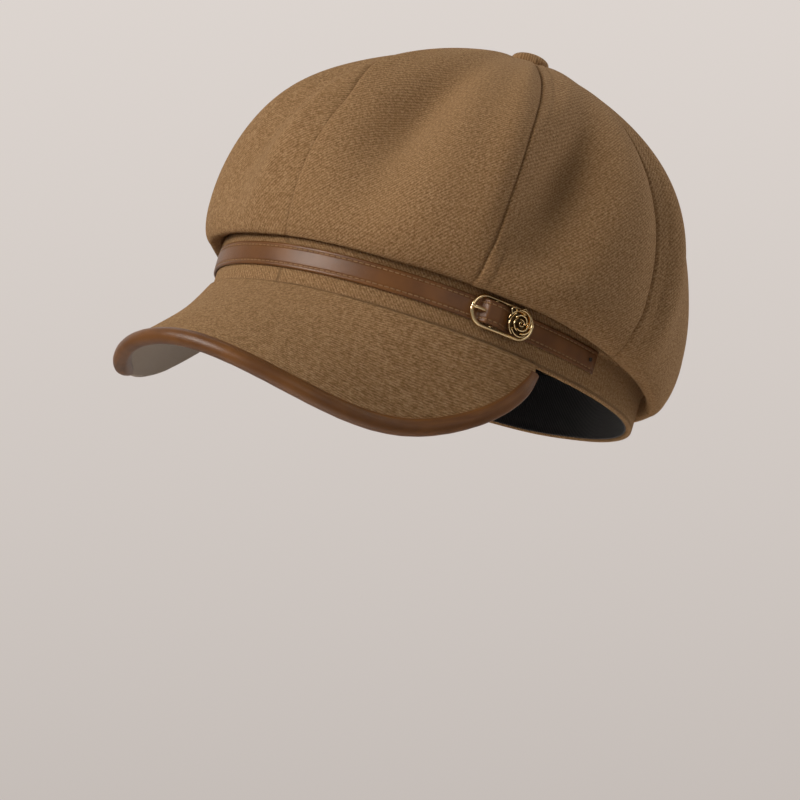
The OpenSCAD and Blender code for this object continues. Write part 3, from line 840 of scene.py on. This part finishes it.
def strap_stitches():
    t = np.linspace(-STRAP_SPAN, STRAP_SPAN, 900)
    starts, ways = [], []
    for side in (-1, 1):
        v = side * (STRAP_W / 2 - STITCH_IN)
        path = strap_point(t, strap_top(v) + 0.10, STRAP_Z + STRAP_W / 2 + v)
        p, d = even_steps(path, 2.4)
        starts.append(p)
        ways.append(d)
    starts, ways = np.concatenate(starts), np.concatenate(ways)
    out = unit(np.cross(ways, np.array([0.0, 0.0, 1.0])))
    return stitches("strap_stitches.thread", starts, ways, out, 1.8, 0.26, THREAD, "thread")


# ---------------------------------------------------------------- buckle

RING_HALF, RING_R, WIRE_R = 13.7, 5.9, 0.7
BAR_R = 0.6
EYE_R, EYE_WIRE, EYE_FLAT = 0.93, 0.26, 3.6
PRONG_R, PRONG_TIP, PRONG_RISE = 0.78, 15.1, 2.0
CURL, CURL_START = 1.2, 13.2        # the prong's tip drops over the wire
ROSE_R, ROSE_INSET = 5.7, 1.6
# Each ring of petals: radius, count, height, span in degrees, flare and lean.
ROSE_RINGS = ((2.5, 3, 2.7, 140, 0.25, 0.8), (4.2, 5, 2.0, 100, 0.5, 1.3))
LEAVES = ((130, 6.9), (80, 6.5), (10, 6.4))         # angle and reach of each leaf loop
LEAF_IN, LEAF_WIRE, LEAF_HALF_W = 4.2, 0.34, 1.1


def stadium(steps=160):
    """The buckle's outline, as (along, up) of its wire."""
    a = np.linspace(0, 360, steps, endpoint=False)
    x = (RING_HALF - RING_R) * np.sign(cos(a)) * np.clip(np.abs(cos(a)) * 8, 0, 1) + RING_R * cos(a)
    return np.stack([0 * x, x, RING_R * sin(a)], -1)


def buckle_frame():
    outline = stadium()
    outline[:, 0] = BAR_OUT
    path = at_buckle(outline)
    front = smooth(-outline[:, 1] / RING_HALF)
    radius = WIRE_R * (0.86 + 0.36 * front)
    obj = round_wire("buckle_frame.gold", path, radius, OUT, sides=20, closed=True)
    finish_piece(obj, "buckle", GOLD, "gold", "buckle_frame")
    v = np.linspace(-RING_R, RING_R, 16)
    bar = at_buckle(np.stack([0 * v + BAR_OUT, 0 * v - BAR_SHIFT, v], -1))
    obj = round_wire("buckle_bar.gold", bar, BAR_R, OUT, sides=16)
    return finish_piece(obj, "buckle", GOLD, "gold")


def buckle_prong():
    """A tapered tongue: an eye round the bar, a straight shank and a tip curled over the frame."""
    a = np.linspace(0, 330, 28)
    eye = np.stack([BAR_OUT + EYE_R * cos(a + 200), -BAR_SHIFT + EYE_R * sin(a + 200), 0 * a], -1)
    obj = round_wire("prong_eye.gold", at_buckle(eye), EYE_WIRE, UP, sides=12, flat=EYE_FLAT)
    finish_piece(obj, "prong", GOLD, "gold")
    u = np.linspace(-BAR_SHIFT - 0.8, -PRONG_TIP, 34)
    climb = PRONG_RISE * smooth((-BAR_SHIFT - u) / 9.0)
    rise = BAR_OUT + 0.3 + climb - CURL * smooth((-u - CURL_START) / 2.2)
    shank = at_buckle(np.stack([rise, u, 0 * u], -1))
    radius = PRONG_R - 0.08 * np.linspace(0, 1, 34)
    radius[-3:] *= (0.95, 0.8, 0.4)
    obj = round_wire("prong_shank.gold", shank, radius, UP, sides=16)
    return finish_piece(obj, "prong", GOLD, "gold", "buckle_prong")


def petal_wall(path, low, high, thick, flare):
    """A standing petal along a plan path of (along, up): it leans out towards its top."""
    m = len(path)
    tangent = unit(np.gradient(path, axis=0))
    outer = np.stack([tangent[:, 1], -tangent[:, 0]], -1)
    outer = outer * np.sign((outer * path).sum(-1, keepdims=True) + 1e-9)
    share = np.linspace(0, 1, 7)
    taper = np.sin(np.pi * np.linspace(0.06, 0.94, m)) ** 0.35
    rings = []
    for side in (1, -1):
        for k in (share if side > 0 else share[::-1]):
            off = flare * k ** 2 + side * thick / 2 * (1 - 0.5 * k)
            level = low + (high - low) * k * taper
            rings.append(np.column_stack([level, path + outer * off]))
    return np.stack(rings, 1)


def join(objects, name):
    bpy.ops.object.select_all(action="DESELECT")
    for obj in objects:
        obj.select_set(True)
    bpy.context.view_layer.objects.active = objects[0]
    bpy.ops.object.join()
    objects[0].name = name
    return objects[0]


def rose():
    """A small cast rose: a spiral heart, standing petals and three leaf loops, over a near-black disc
    that is painted shade between the petals.
    """
    base = BAR_OUT + WIRE_R
    centre = RING_HALF + WIRE_R - ROSE_R - ROSE_INSET
    parts = []

    def place(rings, name):
        points = at_buckle(rings + np.array([base, centre, 0.0]))
        return tube(name, points, points)

    turns = np.linspace(0, 470, 110)
    r = 0.35 + 1.15 * turns / 470
    spiral = np.stack([r * cos(turns), r * sin(turns)], -1)
    parts.append(place(petal_wall(spiral, 0.3, 2.9, 0.5, 0.1), "rose_heart"))
    for ring_r, count, top, span, flare, lean in ROSE_RINGS:
        for i in range(count):
            a = np.linspace(-span / 2, span / 2, 36)
            bow = ring_r + lean * (a / span) + 0.35 * cos(a / span * 180)
            a = a + 360 * i / count + 25 * count
            petal = np.stack([bow * cos(a), bow * sin(a)], -1)
            parts.append(place(petal_wall(petal, 0.1, top, 0.72, flare), "rose_petal"))
    for angle, reach in LEAVES:
        a = np.linspace(-180, 180, 40, endpoint=False)
        x = LEAF_IN + (reach - LEAF_IN) * (0.5 + 0.5 * cos(a))
        y = LEAF_HALF_W * sin(a) * (1 - 0.35 * cos(a))
        loop = np.stack([0 * x + 0.6, x * cos(angle) - y * sin(angle) + centre,
                         x * sin(angle) + y * cos(angle)], -1)
        loop[:, 0] += base
        parts.append(round_wire("rose_leaf", at_buckle(loop), LEAF_WIRE, OUT, sides=10, closed=True))
    # A flat disc under the petals in near-black gold: painted shade in the gaps between them.
    a = np.arange(0, 360, 8)
    rings = np.stack([np.stack([0 * a + z, rr * cos(a), rr * sin(a)], -1)
                      for rr, z in ((4.4, 0.0), (4.9, 0.1), (4.8, 0.35), (3.0, 0.45), (0.4, 0.5))])
    finish_piece(place(rings, "rose_base.painted_shade"), "buckle", PAINTED_SHADE_GOLD, "gold")
    obj = join(parts, "rose.gold")
    return finish_piece(obj, "buckle", GOLD, "gold", "rose_ornament")


# ---------------------------------------------------------------- light, camera, stage

WALL_LOW, WALL_HIGH = (0.235, 0.20, 0.18), (0.80, 0.74, 0.70)
WALL_EDGE = (-0.669, 0.355)         # where the wall is darkest and palest, as a share of upwards
ROOM = (0.22, 0.21, 0.20)
ROOM_EDGE = (0.35, 0.92)            # where the near side ends and the wall begins
FLOOR_Z = -2400.0
FLOOR_RINGS = (0.1, 2000.0, 9000.0, 45000.0)
FLOOR_DARK, FLOOR_LIGHT, FLOOR_ROUGH = (0.70, 0.67, 0.64), (0.73, 0.70, 0.67), 0.9
FLOOR_SEEN, FLOOR_SEEN_SHARE = (0.64, 0.59, 0.56, 1), 0.75
LAMP_Z, LAMP_SIZE, LAMP_POWER, LAMP_COLOUR = -0.9, 2.4, 60.0, (1.0, 0.96, 0.93)
WARM = (1.0, 0.97, 0.93)

# The camera sits to the wearer's left of the front, a little below the cap, and is rolled.
CAM_AZIMUTH, CAM_ELEVATION, CAM_ROLL = 38.36, -8.89, 16.85
CAM_DISTANCE = 1.545
CAM_LENS = 170.2
CAM_SIDE, CAM_LIFT = 0.0094, 0.0142


def camera():
    back = np.array([sin(CAM_AZIMUTH) * cos(CAM_ELEVATION), -cos(CAM_AZIMUTH) * cos(CAM_ELEVATION),
                     sin(CAM_ELEVATION)])
    level = unit(np.cross(-back, [0, 0, 1.0]))
    lift = np.cross(level, -back)
    right = cos(CAM_ROLL) * level + sin(CAM_ROLL) * lift
    up = cos(CAM_ROLL) * lift - sin(CAM_ROLL) * level
    place = CAM_DISTANCE * back - CAM_SIDE * right - CAM_LIFT * up
    data = bpy.data.cameras.new("camera")
    data.lens, data.sensor_width = CAM_LENS, 36.0
    data.clip_start, data.clip_end = 0.05, 50.0
    obj = bpy.data.objects.new("camera", data)
    obj.location = place
    obj.rotation_mode = "QUATERNION"
    obj.rotation_quaternion = Matrix(np.stack([right, up, back], 1).tolist()).to_quaternion()
    bpy.context.scene.collection.objects.link(obj)
    bpy.context.scene.camera = obj
    return right, up, back


def area_light(name, azimuth, elevation, distance, size, power, colour):
    data = bpy.data.lights.new(name, "AREA")
    data.shape, data.size, data.energy, data.color = "DISK", size, power, colour
    obj = bpy.data.objects.new(name, data)
    aim = np.array([0.0, -0.02, 0.05])
    way = np.array([sin(azimuth) * cos(elevation), -cos(azimuth) * cos(elevation), sin(elevation)])
    obj.location = aim + way * distance
    obj.rotation_mode = "QUATERNION"
    obj.rotation_quaternion = Vector(-way).to_track_quat("-Z", "Y")
    bpy.context.scene.collection.objects.link(obj)
    return obj


def floor_lamp():
    """A wide lamp under the cap that lights the floor alone."""
    lamp = area_light("floor_lamp", 0, 0, 0.0, LAMP_SIZE, LAMP_POWER, LAMP_COLOUR)
    lamp.location = (0.0, 0.0, LAMP_Z)
    lamp.rotation_quaternion = (1.0, 0.0, 0.0, 0.0)


def world(back, up):
    """A studio: pale walls that brighten upwards, while little light comes from the near side."""
    w = bpy.data.worlds.new("studio")
    bpy.context.scene.world = w
    w.use_nodes = True
    tree = w.node_tree
    coords = tree.nodes.new("ShaderNodeTexCoord")

    def along(axis, low, high):
        dot = tree.nodes.new("ShaderNodeVectorMath")
        dot.operation = "DOT_PRODUCT"
        dot.inputs[1].default_value = axis
        tree.links.new(coords.outputs["Generated"], dot.inputs[0])
        ranged = tree.nodes.new("ShaderNodeMapRange")
        ranged.interpolation_type = "SMOOTHSTEP"
        ranged.inputs["From Min"].default_value = low
        ranged.inputs["From Max"].default_value = high
        tree.links.new(dot.outputs["Value"], ranged.inputs["Value"])
        return ranged.outputs["Result"]

    def mix(factor, first, second):
        node = tree.nodes.new("ShaderNodeMix")
        node.data_type = "RGBA"
        tree.links.new(factor, node.inputs[0])
        for socket, value in ((node.inputs[6], first), (node.inputs[7], second)):
            if hasattr(value, "is_output"):
                tree.links.new(value, socket)
            else:
                socket.default_value = (*value, 1)
        return node.outputs[2]

    wall = mix(along(up, *WALL_EDGE), WALL_LOW, WALL_HIGH)
    room = mix(along(-back, *ROOM_EDGE), ROOM, wall)
    seen = tree.nodes.new("ShaderNodeLightPath").outputs["Is Camera Ray"]
    tree.links.new(mix(seen, room, wall), tree.nodes["Background"].inputs["Color"])


def floor():
    """A wide pale floor, well below the cap. It looks paler than the light it gives back."""
    steps = np.arange(0, 360, 5)
    rings = np.stack([np.stack([r * sin(steps), r * cos(steps), 0 * steps + FLOOR_Z], -1)
                      for r in FLOOR_RINGS])
    obj = new_object("floor", rings, grid_faces(len(FLOOR_RINGS), len(steps), wrap=True))
    material = plain("floor", FLOOR_DARK, FLOOR_LIGHT, FLOOR_ROUGH)
    tree = material.node_tree
    lit = next(node for node in tree.nodes if node.type == "BSDF_PRINCIPLED")
    out = next(node for node in tree.nodes if node.type == "OUTPUT_MATERIAL")
    glow = tree.nodes.new("ShaderNodeEmission")
    glow.inputs["Color"].default_value = FLOOR_SEEN
    seen = tree.nodes.new("ShaderNodeLightPath").outputs["Is Camera Ray"]
    share = tree.nodes.new("ShaderNodeMath")
    share.operation = "MULTIPLY"
    share.inputs[1].default_value = FLOOR_SEEN_SHARE
    blend = tree.nodes.new("ShaderNodeMixShader")
    tree.links.new(seen, share.inputs[0])
    tree.links.new(share.outputs["Value"], blend.inputs[0])
    tree.links.new(lit.outputs["BSDF"], blend.inputs[1])
    tree.links.new(glow.outputs["Emission"], blend.inputs[2])
    tree.links.new(blend.outputs["Shader"], out.inputs["Surface"])
    obj.data.materials.append(material)


# ---------------------------------------------------------------- build

bpy.context.scene.view_settings.view_transform = "Standard"
_, camera_up, camera_back = camera()
world(camera_back, camera_up)
floor()
area_light("key", -16, 11, 1.7, 1.0, 28.0, WARM)
area_light("rim", 160, 34, 1.7, 0.7, 14.0, WARM)
area_light("fill", 66, 22, 2.0, 1.2, 4.0, (1.0, 0.97, 0.94))
floor_lamp()

for number in range(1, 9):
    crown_panel(number)
    lining_panel(number)
button()
band()
sweatband()
visor_cover("visor_top.cloth", VISOR_HALF - COVER_T, VISOR_HALF, WOOL, "wool", "visor_top_cover")
visor_cover("visor_under.cloth", -VISOR_HALF, COVER_T - VISOR_HALF, TAUPE, "undercloth",
            "visor_under_cover")
visor_binding()
strap()
strap_stitches()
buckle_frame()
buckle_prong()
rose()

for node, material in (("button_shell", STEEL), ("button_base", STEEL), ("button_shank", STEEL),
                       ("button_back", SATIN), ("band_stiffener", BOARD), ("visor_board", BOARD),
                       ("strap_tacks", DARK_THREAD), ("buckle_anchor", LEATHER)):
    mesh = frame["nodes"][node].data
    mesh.materials.clear()
    mesh.materials.append(material)
